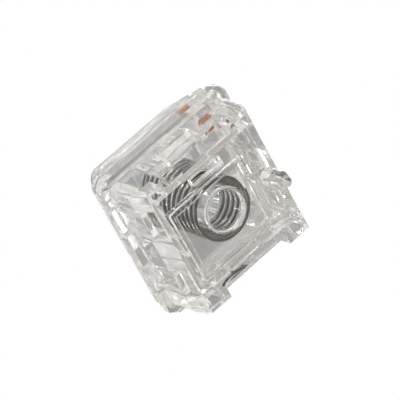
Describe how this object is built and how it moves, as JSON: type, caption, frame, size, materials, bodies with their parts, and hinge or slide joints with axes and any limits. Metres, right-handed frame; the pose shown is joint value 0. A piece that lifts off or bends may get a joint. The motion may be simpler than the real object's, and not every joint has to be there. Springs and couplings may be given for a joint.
{
  "type": "mechanical keyboard switch",
  "caption": "Clear contactless push-button key switch with a sliding cross stem, a coil return spring, a small click spring and a light guide, held by plate snaps and located by one board peg.",
  "frame": {"origin": "centre of the guide tube, on the face that seats on the circuit board", "axes": "+Z along the stem's travel, out of the top; +X from the guide tube to the locating peg; Y square to it, with the light guide on the -Y side"},
  "size_m": [0.0156, 0.0156, 0.0185],
  "materials": {
    "clear_housing": "clear moulded polycarbonate, polished",
    "clear_cover": "clear moulded polycarbonate, polished",
    "clear_stem": "clear moulded plastic, polished",
    "dark_spring_steel": "dark drawn spring wire",
    "copper_wire": "bright copper-coloured wire",
    "clear_lens": "clear moulded plastic, polished"
  },
  "bodies": {
    "housing": {"lower_housing": "clear_housing", "upper_housing": "clear_cover", "return_spring": "dark_spring_steel", "click_spring": "copper_wire", "light_guide": "clear_lens"},
    "plunger": {"stem": "clear_stem"}
  },
  "joints": [
    {"name": "press", "type": "slide", "parent": "housing", "child": "plunger", "axis": [0, 0, -1], "range_m": [0, 0.0035], "stiffness_N_per_m": 70, "springref_m": -0.005, "deforming": ["return_spring"]}
  ]
}
